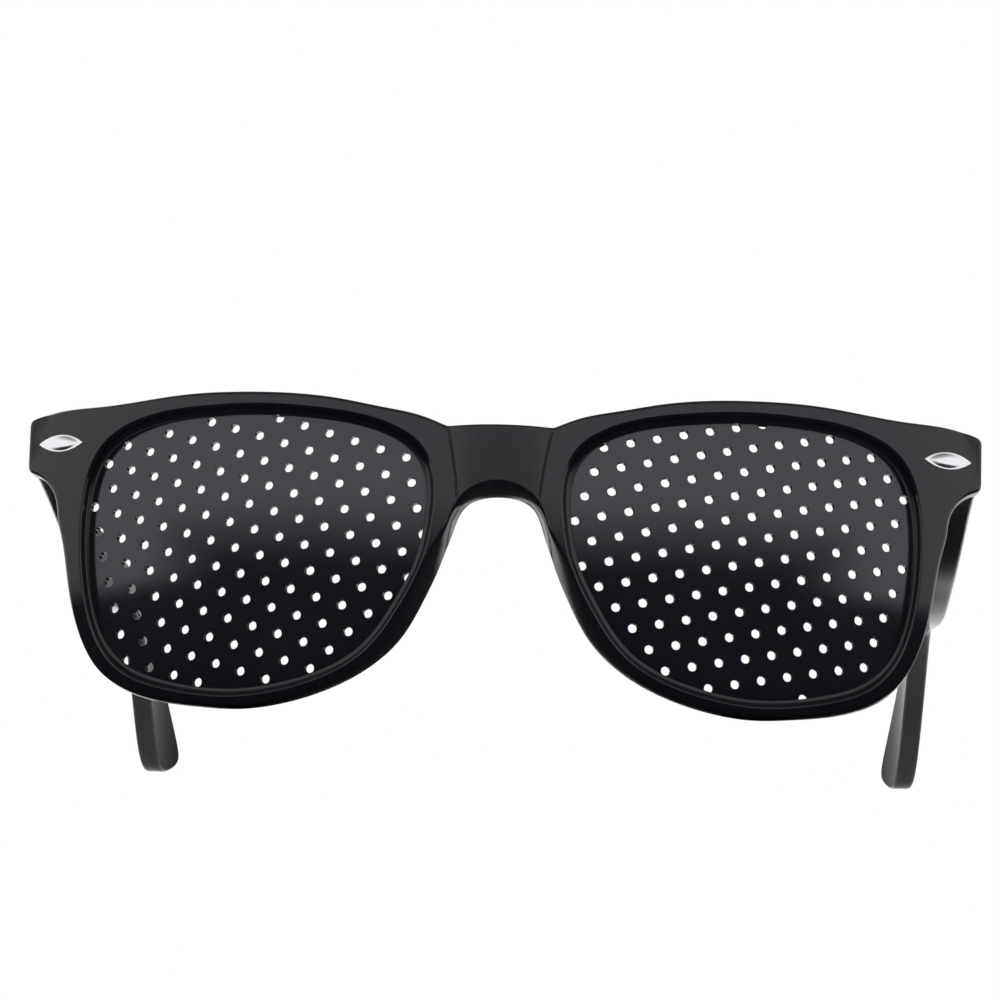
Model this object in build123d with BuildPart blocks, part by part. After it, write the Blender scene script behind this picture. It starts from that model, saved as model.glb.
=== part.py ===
from build123d import *
import math
import os

# Pinhole glasses, with both temples open.
# All lengths are in millimetres and all angles in degrees.
# X runs across the front, Y runs from the front towards the wearer, Z is up.
# Left and right are as seen by someone who looks at the front.
# The origin is on the crown of the nose saddle, on the middle plane, level with the
# outer faces of the lenses at their own middles.

# Lenses
lens_width = 53.6
lens_height = 43.5
nose_gap = 19.6
lens_curve_radius = 80.0
lens_wrap = 7.0
lens_thickness = 1.4
lens_datum_across = 36.0
saddle_rise = 6.7
lens_centre_drop = 3.4

# Pinholes
hole_diameter = 1.4
hole_pitch = 4.0
hole_sides = 6
hole_turn_left = -16.35
hole_turn_right = 9.95
hole_start_left = (-0.58, -0.44)
hole_start_right = (0.7, -0.75)

# Front
front_width = 146.0
brow_height = 20.7
rim_depth = 26.9
face_lift = 2.2
rear_lip = 0.8
rim_bevel = 0.6
rim_lip = 1.0
rim_lip_thickness = 0.9

# Bridge and nose
bridge_top = 16.0
bridge_half_width = 8.0
bridge_radius = 14.0
bridge_crest = 1.6
bridge_depth = 7.0
saddle_lean = 0.18

# Endpieces
endpiece_width = 9.8
endpiece_low = 8.6
hinge_face = 16.6

# Silver inlays in the endpieces
accent_length = 7.5
accent_height = 2.8
accent_across = 67.7
accent_up = 13.6
accent_turn = 3.0
accent_depth = 0.9
accent_proud = 0.2

# Hinges
hinge_across = 67.0
hinge_up = 12.9
barrel_radius = 1.6
barrel_gap = 0.2
knuckle_height = 2.1
lug_height = 1.6
knuckle_gap = 0.15
leaf_thickness = 0.7
leaf_height = 4.6
front_leaf_width = 5.0
temple_leaf_length = 9.0
screw_radius = 0.7
screw_head_radius = 1.15
screw_head_height = 0.6
screw_slot_width = 0.35
screw_slot_depth = 0.3

# Temples
temple_reach = 143.7
temple_top = 17.2
temple_drop = 25.5
temple_tip_radius = 2.6
temple_heel = 9.4
temple_thickness = 3.6
temple_edge = 0.7
temple_bend_start = 108.0
temple_bend_radius = 190.0
butt_gap = 0.15

# Clearances
fit_gap = 0.05
side_gap = 0.1
overrun = 10.0

# Lens opening, all the way round: shares of half the width and half the height of a lens,
# from its middle
opening_shares = [
    (1.0, 0.16), (0.985, -0.15), (0.937, -0.46), (0.847, -0.697), (0.713, -0.848),
    (0.511, -0.94), (0.276, -0.99), (0.05, -0.995), (-0.18, -0.95), (-0.403, -0.862),
    (-0.623, -0.697), (-0.836, -0.338), (-0.94, -0.07), (-0.993, 0.25), (-0.978, 0.59),
    (-0.899, 0.752), (-0.769, 0.857), (-0.582, 0.931), (-0.358, 0.972), (0.09, 1.0),
    (0.313, 0.986), (0.537, 0.954), (0.687, 0.903), (0.817, 0.821), (0.899, 0.72),
    (0.955, 0.586), (0.989, 0.4),
]

# Brow: shares of half the front's width and of the brow's height
brow_shares = [
    (0.164, 0.845), (0.247, 0.9), (0.329, 0.952), (0.411, 0.985), (0.534, 1.0), (0.66, 0.986),
    (0.84, 0.924), (0.984, 0.87),
]
brow_corner_share = 0.845

# Side and lower rim: shares of half the front's width and of the rim's depth
side_shares = [
    (0.978, 0.332), (0.944, 0.249), (0.93, 0.165), (0.925, 0.07), (0.915, -0.037),
    (0.896, -0.316), (0.874, -0.554), (0.856, -0.669), (0.829, -0.78), (0.773, -0.892),
    (0.696, -0.959), (0.61, -0.989), (0.525, -1.0), (0.441, -0.97), (0.357, -0.903),
]
side_start_share = 0.355

# Nose side: the same shares, with the lean of each point towards the middle
nose_shares = [
    (0.281, -0.795, 0.08), (0.244, -0.714, 0.15), (0.21, -0.606, 0.25), (0.19, -0.506, 0.34),
    (0.165, -0.357, 0.4), (0.145, -0.223, 0.43), (0.126, -0.112, 0.35), (0.105, 0.0, 0.22),
    (0.087, 0.13, 0.2),
]

# Temple, upper and lower edge from the heel to the tip: shares of its reach and its drop
temple_upper_shares = [
    (0.077, 0.616), (0.125, 0.588), (0.152, 0.56), (0.174, 0.5), (0.216, 0.408),
    (0.25, 0.373), (0.348, 0.318), (0.466, 0.286), (0.675, 0.267), (0.731, 0.22),
    (0.783, 0.114), (0.839, -0.09), (0.898, -0.326), (0.953, -0.596), (0.976, -0.718),
]
temple_tip_upper_share = -0.847
temple_tip_lower_share = 0.893
temple_lower_shares = [
    (0.849, -0.733), (0.812, -0.486), (0.772, -0.263), (0.722, -0.067), (0.689, 0.02),
    (0.647, 0.023), (0.564, -0.02), (0.466, -0.05), (0.383, -0.016), (0.317, 0.04),
    (0.264, 0.082), (0.118, 0.243), (0.09, 0.275),
]

# Sizes that follow from the ones above
wrap = math.radians(lens_wrap)
half_width = front_width / 2
lens_middle = (nose_gap + lens_width) / 2
curve_across = lens_datum_across - lens_curve_radius * math.sin(wrap)
curve_back = lens_curve_radius * math.cos(wrap)
face_radius = lens_curve_radius + face_lift
ledge_radius = lens_curve_radius + rim_lip_thickness
lens_rear_radius = lens_curve_radius - lens_thickness
rear_radius = lens_rear_radius - fit_gap - rear_lip
hinge_back = hinge_face + barrel_radius + barrel_gap
hinge_height = hinge_up - saddle_rise
temple_inner = hinge_across + barrel_radius + barrel_gap
front_reach = bridge_crest + side_gap
back_reach = hinge_face + side_gap

sides = {"left": -1, "right": 1}
hole_turns = {"left": hole_turn_left, "right": hole_turn_right}
hole_starts = {"left": hole_start_left, "right": hole_start_right}


def front_view(back):
    """Upright plane that lies this far behind the origin, with its middle at lens height."""
    return Plane((0, back, -saddle_rise), x_dir=(1, 0, 0), z_dir=(0, -1, 0))


def scaled(shares, width, height):
    """Turn a list of shares into points."""
    return [(across * width, up * height) for across, up in shares]


def curve_centre(sign):
    """Centre of the sphere that the lens and the rim of one side follow."""
    return (sign * curve_across, curve_back, -saddle_rise)


def front_outline(back):
    """Right half of the front's outline, on the plane that lies this far behind the origin."""
    brow = scaled(brow_shares, half_width, brow_height)
    rim = scaled(side_shares, half_width, rim_depth)
    nose = [(a * half_width - lean * back, up * rim_depth) for a, up, lean in nose_shares]
    crown = (0, saddle_rise - saddle_lean * back)
    corner = (half_width, brow_corner_share * brow_height)
    side_start = (half_width, side_start_share * rim_depth)
    with BuildSketch(front_view(back)) as outline:
        with BuildLine():
            flat_line = Line((0, bridge_top), (bridge_half_width, bridge_top))
            brow_line = Spline(flat_line @ 1, *brow, corner)
            end_line = Line(brow_line @ 1, side_start)
            rim_line = Spline(end_line @ 1, *rim, *nose, crown)
            Line(rim_line @ 1, flat_line @ 0)
        make_face()
    return outline.sketch


def opening_face(sign, grow):
    """Outline of a lens opening, larger by grow on each side than the lens's nominal size."""
    points = scaled(opening_shares, sign * (lens_width / 2 + grow), lens_height / 2 + grow)
    middle = (sign * lens_middle, -front_reach, -lens_centre_drop - saddle_rise)
    with BuildSketch(Plane(middle, x_dir=(1, 0, 0), z_dir=(0, -1, 0))) as outline:
        with BuildLine():
            Spline(*points, periodic=True)
        make_face()
    return outline.sketch


def accent_face(sign, grow):
    """Almond outline of an inlay: two equal arcs that meet in points."""
    half_length = accent_length / 2 + grow
    half_height = accent_height / 2 + grow
    turn = math.radians(-sign * accent_turn)
    place = (sign * accent_across, -front_reach, accent_up - saddle_rise)
    along = (math.cos(turn), 0, math.sin(turn))
    with BuildSketch(Plane(place, x_dir=along, z_dir=(0, -1, 0))) as outline:
        with BuildLine():
            ThreePointArc((-half_length, 0), (0, half_height), (half_length, 0))
            ThreePointArc((half_length, 0), (0, -half_height), (-half_length, 0))
        make_face()
    return outline.sketch


def skin(profile, outer_radius, inner_radius, sign):
    """What a profile's prism holds between two spheres of one side."""
    with BuildPart() as piece:
        extrude(profile, amount=front_reach + back_reach, dir=(0, 1, 0))
        with Locations(curve_centre(sign)):
            Sphere(outer_radius, mode=Mode.INTERSECT)
            Sphere(inner_radius, mode=Mode.SUBTRACT)
    return piece.part


def recess(profile, floor_radius, sign):
    """What a profile's prism holds in front of a sphere of one side."""
    with BuildPart() as piece:
        extrude(profile, amount=front_reach + back_reach, dir=(0, 1, 0))
        with Locations(curve_centre(sign)):
            Sphere(floor_radius, mode=Mode.SUBTRACT)
    return piece.part


def hole_face(sign, datum, start, turn):
    """Every pinhole of one lens, on a plane that lies square to the middle of the lens."""
    opening = opening_face(sign, side_gap - rim_lip)
    rows = math.ceil(lens_width / hole_pitch)
    angle = math.radians(turn)
    slant = math.radians(turn - 60)
    holes = []
    for row in range(-rows, rows + 1):
        for column in range(-rows, rows + 1):
            across = start[0] + hole_pitch * (column * math.cos(angle) + row * math.cos(slant))
            up = start[1] + hole_pitch * (column * math.sin(angle) + row * math.sin(slant))
            place = datum.from_local_coords(Vector(across, up, 0))
            if opening.is_inside(Vector(place.X, -front_reach, place.Z)):
                holes.append((across, up))
    with BuildSketch(datum) as pattern:
        with Locations(*holes):
            RegularPolygon(hole_diameter / 2, hole_sides)
    return pattern.sketch


def on_face(edge):
    """Whether an edge lies on the front's outer sphere, on the right side."""
    distance = (edge @ 0.3 - Vector(*curve_centre(1))).length
    return abs(distance - face_radius) < fit_gap


def finish(piece, name):
    """Label a finished piece and write it."""
    piece.part.label = name
    export_step(piece.part, f"parts/{name}.step")


os.makedirs("parts", exist_ok=True)

# Front form: the face of the right rim, with the bridge standing out of it as a column
with BuildPart() as front_form:
    with Locations(curve_centre(1)):
        Sphere(face_radius)
    with Locations((0, bridge_radius - bridge_crest, -saddle_rise)):
        Cylinder(bridge_radius, 2 * front_width)

# Rear form: what lies behind the front, which leaves the endpiece solid up to its hinge face
with BuildPart() as rear_form:
    with Locations(curve_centre(1)):
        Sphere(rear_radius)
    endpiece_place = (half_width - endpiece_width, -front_reach, endpiece_low - saddle_rise)
    with Locations(endpiece_place):
        Box(front_width, front_width, front_width, align=Align.MIN, mode=Mode.SUBTRACT)
    with Locations((half_width - endpiece_width, hinge_face, 0)):
        Box(front_width, front_width, front_width, align=(Align.MIN, Align.MIN, Align.CENTER))
    with Locations((0, bridge_depth - bridge_crest, 0)):
        Box(2 * bridge_half_width, front_width, front_width,
            align=(Align.CENTER, Align.MIN, Align.CENTER))

# The moulded front, made as its right half and mirrored
groove_radius = lens_curve_radius + fit_gap
groove_floor = lens_rear_radius - fit_gap
stack_height = 2 * (lug_height + knuckle_gap) + knuckle_height
leaf_edge = hinge_across + barrel_radius - front_leaf_width
with BuildPart() as front_frame:
    loft([front_outline(-front_reach), front_outline(back_reach)], ruled=True)
    add(front_form.part, mode=Mode.INTERSECT)
    add(rear_form.part, mode=Mode.SUBTRACT)
    add(recess(opening_face(1, 0), ledge_radius, 1), mode=Mode.SUBTRACT)
    rim_edge = front_frame.edges().filter_by(on_face).filter_by(lambda edge: edge.is_closed)
    chamfer(rim_edge, rim_bevel)
    add(skin(opening_face(1, 0), groove_radius, groove_floor, 1), mode=Mode.SUBTRACT)
    extrude(opening_face(1, -rim_lip), amount=front_reach + back_reach, dir=(0, 1, 0),
            mode=Mode.SUBTRACT)
    add(recess(accent_face(1, fit_gap), face_radius - accent_depth, 1), mode=Mode.SUBTRACT)
    with Locations((leaf_edge - fit_gap, hinge_face, hinge_height)):
        Box(front_leaf_width + 2 * fit_gap, 2 * (leaf_thickness + fit_gap),
            stack_height + 2 * fit_gap, align=(Align.MIN, Align.CENTER, Align.CENTER),
            mode=Mode.SUBTRACT)
    mirror(about=Plane.YZ)
finish(front_frame, "front_frame")

# The perforated lenses, and the silver inlays
for side, sign in sides.items():
    normal = (sign * math.sin(wrap), -math.cos(wrap), 0)
    along = (math.cos(wrap), sign * math.sin(wrap), 0)
    datum = Plane((sign * lens_datum_across, 0, -saddle_rise), x_dir=along, z_dir=normal)
    holes = hole_face(sign, datum, hole_starts[side], hole_turns[side])
    with BuildPart() as lens:
        add(skin(opening_face(sign, -side_gap), lens_curve_radius, lens_rear_radius, sign))
        extrude(holes, amount=back_reach, both=True, clean=False, mode=Mode.SUBTRACT)
    finish(lens, f"lens_{side}")

    with BuildPart() as accent:
        add(skin(accent_face(sign, 0), face_radius + accent_proud,
                 face_radius - accent_depth + fit_gap, sign))
    finish(accent, f"accent_{side}")

# The right hinge: a leaf with two lugs on the front, a leaf with one knuckle on the
# temple, and a screw through all three
hinge_axis = (hinge_across, hinge_back)
stack_bottom = Plane.XY.offset(hinge_height - stack_height / 2)
stack_top = Plane.XY.offset(hinge_height + stack_height / 2)
slot_bottom = Plane.XY.offset(hinge_height - knuckle_height / 2 - knuckle_gap)
knuckle_bottom = Plane.XY.offset(hinge_height - knuckle_height / 2)
leaf_bottom = Plane.XY.offset(hinge_height - leaf_height / 2)
screw_top = Plane.XY.offset(hinge_height + stack_height / 2 + screw_head_height)

with BuildPart() as front_hinge:
    with BuildSketch(stack_bottom):
        with Locations(hinge_axis):
            Circle(barrel_radius)
        with Locations((hinge_across, hinge_face)):
            Rectangle(2 * barrel_radius, hinge_back - hinge_face, align=(Align.CENTER, Align.MIN))
    extrude(amount=stack_height)
    with BuildSketch(slot_bottom):
        with Locations(hinge_axis):
            Rectangle(2 * front_leaf_width, 2 * (hinge_back - hinge_face))
    extrude(amount=knuckle_height + 2 * knuckle_gap, mode=Mode.SUBTRACT)
    with BuildSketch(stack_bottom):
        with Locations((leaf_edge, hinge_face - leaf_thickness)):
            Rectangle(front_leaf_width, leaf_thickness, align=Align.MIN)
    extrude(amount=stack_height)
    with BuildSketch(stack_bottom):
        with Locations(hinge_axis):
            Circle(screw_radius + fit_gap)
    extrude(amount=stack_height, mode=Mode.SUBTRACT)

with BuildPart() as temple_hinge:
    with BuildSketch(knuckle_bottom):
        with Locations(hinge_axis):
            Circle(barrel_radius)
            Rectangle(barrel_radius + barrel_gap + leaf_thickness, 2 * barrel_radius,
                      align=(Align.MIN, Align.CENTER))
    extrude(amount=knuckle_height)
    with BuildSketch(leaf_bottom):
        with Locations((temple_inner, hinge_back - barrel_radius)):
            Rectangle(leaf_thickness, temple_leaf_length + barrel_radius, align=Align.MIN)
    extrude(amount=leaf_height)
    with BuildSketch(knuckle_bottom):
        with Locations(hinge_axis):
            Circle(screw_radius + fit_gap)
    extrude(amount=knuckle_height, mode=Mode.SUBTRACT)

with BuildPart() as hinge_screw:
    with BuildSketch(stack_bottom):
        with Locations(hinge_axis):
            Circle(screw_radius)
    extrude(amount=stack_height)
    with BuildSketch(stack_top):
        with Locations(hinge_axis):
            Circle(screw_head_radius)
    extrude(amount=screw_head_height)
    with BuildSketch(screw_top):
        with Locations(hinge_axis):
            Rectangle(2 * screw_head_radius, screw_slot_width)
    extrude(amount=-screw_slot_depth, mode=Mode.SUBTRACT)

# The right temple: a flat slab whose tip bends towards the head
heel = butt_gap - barrel_radius - barrel_gap
upper = scaled(temple_upper_shares, temple_reach, temple_drop)
lower = scaled(temple_lower_shares, temple_reach, temple_drop)
tip_corner = (temple_reach, temple_tip_upper_share * temple_drop)
low_corner = (temple_tip_lower_share * temple_reach, -temple_drop)
bend_angle = math.degrees((temple_reach - temple_bend_start) / temple_bend_radius)
profile_plane = Plane((0, hinge_back, -saddle_rise), x_dir=(0, 1, 0), z_dir=(1, 0, 0))
plan_plane = Plane.XY.offset(-saddle_rise - temple_drop - overrun)
with BuildPart() as temple:
    with BuildSketch(profile_plane):
        with BuildLine():
            heel_line = Line((heel, temple_heel), (heel, temple_top))
            upper_line = Spline(heel_line @ 1, *upper, tip_corner)
            end_line = Line(upper_line @ 1, low_corner)
            Spline(end_line @ 1, *lower, heel_line @ 0)
        profile = make_face()
        tip_corners = profile.vertices().sort_by(Axis.X)[-2:]
        fillet(tip_corners, temple_tip_radius)
    extrude(amount=half_width + temple_thickness)
    with BuildSketch(plan_plane):
        with BuildLine():
            straight = Line((temple_inner, hinge_back + heel),
                            (temple_inner, hinge_back + temple_bend_start))
            curve = JernArc(straight @ 1, (0, 1), temple_bend_radius, 2 * bend_angle)
            offset(amount=temple_thickness, side=Side.RIGHT)
        make_face()
    extrude(amount=temple_drop + temple_top + 2 * overrun, mode=Mode.INTERSECT)
    with Locations((temple_inner - fit_gap, hinge_back - barrel_radius - fit_gap, hinge_height)):
        Box(leaf_thickness + 2 * fit_gap, temple_leaf_length + barrel_radius + 2 * fit_gap,
            leaf_height + 2 * fit_gap, align=(Align.MIN, Align.MIN, Align.CENTER),
            mode=Mode.SUBTRACT)

# The left hinge and temple mirror the right ones
right_pieces = {"front_hinge": front_hinge, "temple_hinge": temple_hinge,
                "hinge_screw": hinge_screw, "temple": temple}
for name, right_piece in right_pieces.items():
    finish(right_piece, f"{name}_right")
    with BuildPart() as left_piece:
        mirror(right_piece.part, about=Plane.YZ)
    finish(left_piece, f"{name}_left")
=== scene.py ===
"""The looks of the pinhole glasses: fine forms, finishes, stage, light and camera.

Sizes are in millimetres and are turned into metres where a mesh is made. X runs across the
front, Y from the front towards the wearer and Z up, with the origin on the crown of the nose
saddle. Left and right are as seen by someone who looks at the front.
"""

import logging
import math
from dataclasses import dataclass, field
from enum import Enum
from typing import Callable, Sequence

import bpy
import bmesh
import numpy as np
from mathutils import Matrix, Vector
from mathutils.geometry import delaunay_2d_cdt


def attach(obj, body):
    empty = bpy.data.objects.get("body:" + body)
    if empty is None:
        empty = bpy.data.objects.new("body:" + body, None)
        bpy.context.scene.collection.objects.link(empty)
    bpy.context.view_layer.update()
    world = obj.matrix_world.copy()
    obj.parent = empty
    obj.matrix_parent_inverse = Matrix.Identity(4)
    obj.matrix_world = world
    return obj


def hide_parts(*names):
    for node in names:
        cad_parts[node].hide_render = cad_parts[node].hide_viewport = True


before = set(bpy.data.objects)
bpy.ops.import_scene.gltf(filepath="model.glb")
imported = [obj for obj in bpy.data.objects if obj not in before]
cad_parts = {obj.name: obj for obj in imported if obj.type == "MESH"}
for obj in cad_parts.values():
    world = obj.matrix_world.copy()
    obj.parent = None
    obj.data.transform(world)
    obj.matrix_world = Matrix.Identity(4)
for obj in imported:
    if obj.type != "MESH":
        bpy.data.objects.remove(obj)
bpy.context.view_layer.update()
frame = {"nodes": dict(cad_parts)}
LOG = logging.getLogger("glasses")
MM = 0.001

SADDLE_RISE = 6.7
GLASSES_TURN = np.eye(3)
GLASSES_SHIFT = (0.0, 0.0, -SADDLE_RISE)
LENS_RADIUS = 80.0
LENS_WRAP = 7.0
LENS_DATUM = 36.0
BACK_EDGE_SHARE = 0.8
BUMP_DEPTH = 0.0001

KERNEL_REACHES = 3
SLOPE_STEP = 0.04
ROW_SHARE = 0.866
MERGE_GAP = 1e-5

Depth = Callable[[np.ndarray, np.ndarray], np.ndarray]
Colour = tuple[float, float, float]
Inputs = dict[str | int, bpy.types.NodeSocket | float | tuple]


class Side(Enum):
    """The two sides of the glasses, with the sign of their X."""

    LEFT = -1
    RIGHT = 1

    @property
    def word(self) -> str:
        """The side's name as the nodes have it."""
        return self.name.lower()


class Slot(Enum):
    """The material slots of the record."""

    FRAME = "frame_black"
    LENS = "lens_black"
    INLAY = "inlay_silver"
    HINGE = "hinge_steel"
    SCREW = "screw_steel"


def spline_through(points: np.ndarray, closed: bool, count: int) -> np.ndarray:
    """Samples a smooth cubic curve through points.

    Args:
        points: The points in order, one row each, with their place in the first two columns.
        closed: Whether the curve runs back to its first point.
        count: The number of samples.

    Returns:
        The samples, one row each. A closed curve doesn't repeat its first sample.
    """
    knots = np.vstack([points, points[:1]]) if closed else points
    steps = np.linalg.norm(np.diff(knots[:, :2], axis=0), axis=1)
    places = np.concatenate([[0.0], np.cumsum(steps)])
    size = len(knots)
    system = np.zeros((size, size))
    right = np.zeros((size, knots.shape[1]))
    slopes = np.diff(knots, axis=0) / steps[:, None]
    for i in range(1, size - 1):
        system[i, i - 1:i + 2] = steps[i - 1], 2 * (steps[i - 1] + steps[i]), steps[i]
        right[i] = 6 * (slopes[i] - slopes[i - 1])
    if closed:
        system[0, 0], system[0, -1] = 1.0, -1.0
        system[-1, :2] += 2 * steps[0], steps[0]
        system[-1, -2:] += steps[-1], 2 * steps[-1]
        right[-1] = 6 * (slopes[0] - slopes[-1])
    else:
        system[0, 0] = system[-1, -1] = 1.0
    bends = np.linalg.solve(system, right)
    samples = np.linspace(0.0, places[-1], count + 1)[:-1] if closed else (
        np.linspace(0.0, places[-1], count))
    spans = np.clip(np.searchsorted(places, samples, side="right") - 1, 0, size - 2)
    width = steps[spans][:, None]
    after = (samples - places[spans])[:, None]
    before = width - after
    curve = (bends[spans] * before**3 + bends[spans + 1] * after**3) / (6 * width)
    curve += (knots[spans] / width - bends[spans] * width / 6) * before
    curve += (knots[spans + 1] / width - bends[spans + 1] * width / 6) * after
    return curve


def evenly(points: np.ndarray, spacing: float) -> np.ndarray:
    """Spaces the samples of a closed line evenly.

    Args:
        points: The samples in order, one row each, the first two columns being its place.
        spacing: The distance between the new samples.

    Returns:
        The new samples.
    """
    ring = np.vstack([points, points[:1]])
    steps = np.linalg.norm(np.diff(ring[:, :2], axis=0), axis=1)
    places = np.concatenate([[0.0], np.cumsum(steps)])
    wanted = np.linspace(0.0, places[-1], round(places[-1] / spacing) + 1)[:-1]
    return np.column_stack([np.interp(wanted, places, column) for column in ring.T])


def softened(points: np.ndarray, spacing: float, reach: float) -> np.ndarray:
    """Rounds the corners of a closed, evenly spaced line.

    Args:
        points: The samples in order, one row each.
        spacing: The distance between them.
        reach: How far from a corner the rounding reaches, roughly.

    Returns:
        The rounded samples.
    """
    half = math.ceil(KERNEL_REACHES * reach / spacing)
    shifts = np.arange(-half, half + 1)
    weights = np.exp(-0.5 * (shifts * spacing / reach) ** 2)
    weights /= weights.sum()
    return sum(weight * np.roll(points, shift, axis=0) for weight, shift in zip(weights, shifts))


def inward_normals(points: np.ndarray) -> np.ndarray:
    """Finds the unit normals that point into a closed flat line.

    Args:
        points: The samples in order, with their place in the first two columns.

    Returns:
        One unit normal for each sample.
    """
    flat = points[:, :2]
    along = np.roll(flat, -1, axis=0) - np.roll(flat, 1, axis=0)
    normals = np.column_stack([-along[:, 1], along[:, 0]])
    normals /= np.linalg.norm(normals, axis=1)[:, None]
    return normals * (1.0 if signed_area(flat) > 0 else -1.0)


def signed_area(flat: np.ndarray) -> float:
    """Measures the area inside a closed flat line.

    Args:
        flat: Its points, one row each.

    Returns:
        The area, which is positive if the line runs anticlockwise.
    """
    ahead = np.roll(flat, -1, axis=0)
    return 0.5 * float(np.sum(flat[:, 0] * ahead[:, 1] - ahead[:, 0] * flat[:, 1]))


def inside(points: np.ndarray, loop: np.ndarray) -> np.ndarray:
    """Tests which points lie inside a closed flat line.

    Args:
        points: The points to test, one row each.
        loop: The line's points, one row each.

    Returns:
        One truth value for each point.
    """
    found = np.zeros(len(points), bool)
    for (x0, y0), (x1, y1) in zip(loop, np.roll(loop, -1, axis=0)):
        if y0 == y1:
            continue
        crosses = (points[:, 1] > min(y0, y1)) & (points[:, 1] <= max(y0, y1))
        found ^= crosses & (points[:, 0] < x0 + (points[:, 1] - y0) * (x1 - x0) / (y1 - y0))
    return found


def to_points(shares: Sequence[Sequence[float]], across: float, up: float) -> np.ndarray:
    """Turns a table of shares into points.

    Args:
        shares: Pairs of shares, which may be followed by other values.
        across: The size that the first share is of.
        up: The size that the second share is of.

    Returns:
        The points, one row each, followed by the other values as they are.
    """
    points = np.array(shares, float)
    points[:, 0] *= across
    points[:, 1] *= up
    return points


def slopes_of(depth: Depth, across: np.ndarray, up: np.ndarray) -> tuple[np.ndarray, np.ndarray]:
    """Measures how fast a surface's depth grows.

    Args:
        depth: The surface.
        across: The places across.
        up: The places upwards.

    Returns:
        The slope across and the slope upwards.
    """
    step = SLOPE_STEP
    slope_across = (depth(across + step, up) - depth(across - step, up)) / (2 * step)
    slope_up = (depth(across, up + step) - depth(across, up - step)) / (2 * step)
    return slope_across, slope_up


def soft_least(first: np.ndarray, second: np.ndarray, reach: float) -> np.ndarray:
    """Takes the lesser of two depths, with a soft turn where they meet.

    Args:
        first: The first depths.
        second: The second depths.
        reach: How far apart the depths are where the turn begins.

    Returns:
        The joined depths.
    """
    near = np.clip(1.0 - np.abs(first - second) / reach, 0.0, None)
    return np.minimum(first, second) - near**2 * reach / 4


def soft_step(values: np.ndarray, start: float, end: float) -> np.ndarray:
    """Rises smoothly from 0 at start to 1 at end."""
    share = np.clip((values - start) / (end - start), 0.0, 1.0)
    return share * share * (3.0 - 2.0 * share)


def grid(low: tuple[float, float], high: tuple[float, float], spacing: float) -> np.ndarray:
    """Lays points in staggered rows.

    Args:
        low: The lowest corner.
        high: The highest corner.
        spacing: The distance between points.

    Returns:
        The points, one row each.
    """
    rows = []
    for i, up in enumerate(np.arange(low[1], high[1], spacing * ROW_SHARE)):
        across = np.arange(low[0] + (i % 2) * spacing / 2, high[0], spacing)
        rows.append(np.column_stack([across, np.full(len(across), up)]))
    return np.vstack(rows)


def spaced_from(points: np.ndarray, others: np.ndarray, gap: float) -> np.ndarray:
    """Keeps the points that are more than a gap away from all others.

    Args:
        points: The points to choose from, one row each.
        others: The points to stay away from, one row each.
        gap: The least distance.

    Returns:
        The points that are kept.
    """
    kept = np.ones(len(points), bool)
    for other in others:
        kept &= np.hypot(points[:, 0] - other[0], points[:, 1] - other[1]) > gap
    return points[kept]


def lifted(flat: np.ndarray, surface: Depth) -> np.ndarray:
    """Puts flat places on a surface."""
    return np.column_stack([flat[:, 0], surface(flat[:, 0], flat[:, 1]), flat[:, 1]])


def add_piece(name: str, data: bpy.types.ID) -> bpy.types.Object:
    """Makes an object from its data and puts it in the scene."""
    piece = bpy.data.objects.new(name, data)
    bpy.context.scene.collection.objects.link(piece)
    return piece


def feed(tree: bpy.types.NodeTree, node: bpy.types.Node, inputs: Inputs) -> None:
    """Feeds a node's inputs.

    Args:
        tree: The nodes it is one of.
        node: The node.
        inputs: What each input gets, another node's output or a value.
    """
    for label, source in inputs.items():
        if isinstance(source, bpy.types.NodeSocket):
            tree.links.new(source, node.inputs[label])
        else:
            node.inputs[label].default_value = source


def add_node(tree: bpy.types.NodeTree, kind: str, inputs: Inputs,
             **modes: str | bpy.types.NodeTree) -> bpy.types.Node:
    """Adds a shader node.

    Args:
        tree: The nodes it joins.
        kind: The node's type.
        inputs: What each input gets, another node's output or a value.
        modes: The node's own settings.

    Returns:
        The node.
    """
    node = tree.nodes.new(kind)
    for mode, value in modes.items():
        setattr(node, mode, value)
    feed(tree, node, inputs)
    return node


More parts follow.
